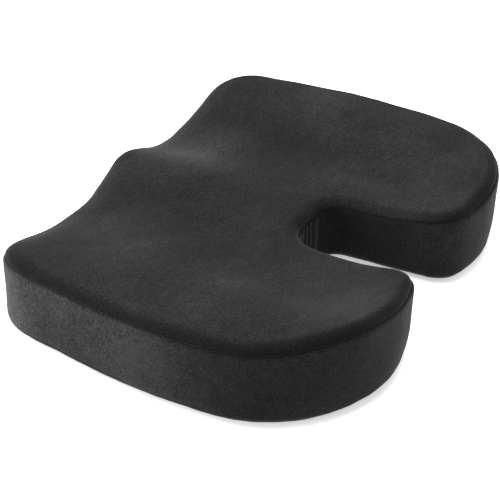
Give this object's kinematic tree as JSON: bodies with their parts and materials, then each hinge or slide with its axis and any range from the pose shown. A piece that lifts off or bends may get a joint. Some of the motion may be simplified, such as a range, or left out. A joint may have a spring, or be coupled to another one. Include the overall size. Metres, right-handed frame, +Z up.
{
  "type": "coccyx seat cushion",
  "caption": "Contoured foam seat cushion with a tailbone notch in the back edge, thigh troughs, a front hump and a zipped velour cover with a grip base.",
  "frame": {"origin": "on the surface that the cushion rests on, under the middle of its bounding box", "axes": "+Z up, +Y towards the sitter's knees (the zipped front band), +X to the sitter's right"},
  "size_m": [0.4542, 0.3438, 0.0829],
  "materials": {
    "memory_foam": "open-cell viscoelastic foam",
    "velour": "brushed short-pile velour",
    "grip_cloth": "plain woven base cloth",
    "grip_rubber": "soft matt rubber dots",
    "zip_tape": "woven polyester tape",
    "zip_teeth": "moulded acetal",
    "zip_metal": "black satin enamel"
  },
  "bodies": {
    "cushion": {"foam_core": "memory_foam", "top_panel": "velour", "left_side_band": "velour", "right_side_band": "velour", "zip_strip_upper": "velour", "zip_strip_lower": "velour", "bottom_panel": "grip_cloth", "grip_dots": "grip_rubber", "zip_tape_upper": "zip_tape", "zip_tape_lower": "zip_tape", "zip_teeth_upper": "zip_teeth", "zip_teeth_lower": "zip_teeth", "zip_top_stops": "zip_teeth", "zip_bottom_stop": "zip_teeth"},
    "slider": {"zip_slider": "zip_metal"},
    "pull": {"zip_pull": "zip_metal"}
  },
  "joints": [
    {"name": "zip_slide", "type": "slide", "parent": "cushion", "child": "slider", "axis": [-1, 0, 0], "range_m": [0, 0.26], "deforming": ["zip_teeth_upper", "zip_teeth_lower"]},
    {"name": "pull_swing", "type": "hinge", "parent": "slider", "child": "pull", "pos_m": [0.13, 0.17085, 0.024], "axis": [0, 0, -1], "range_deg": [0, 175]}
  ]
}
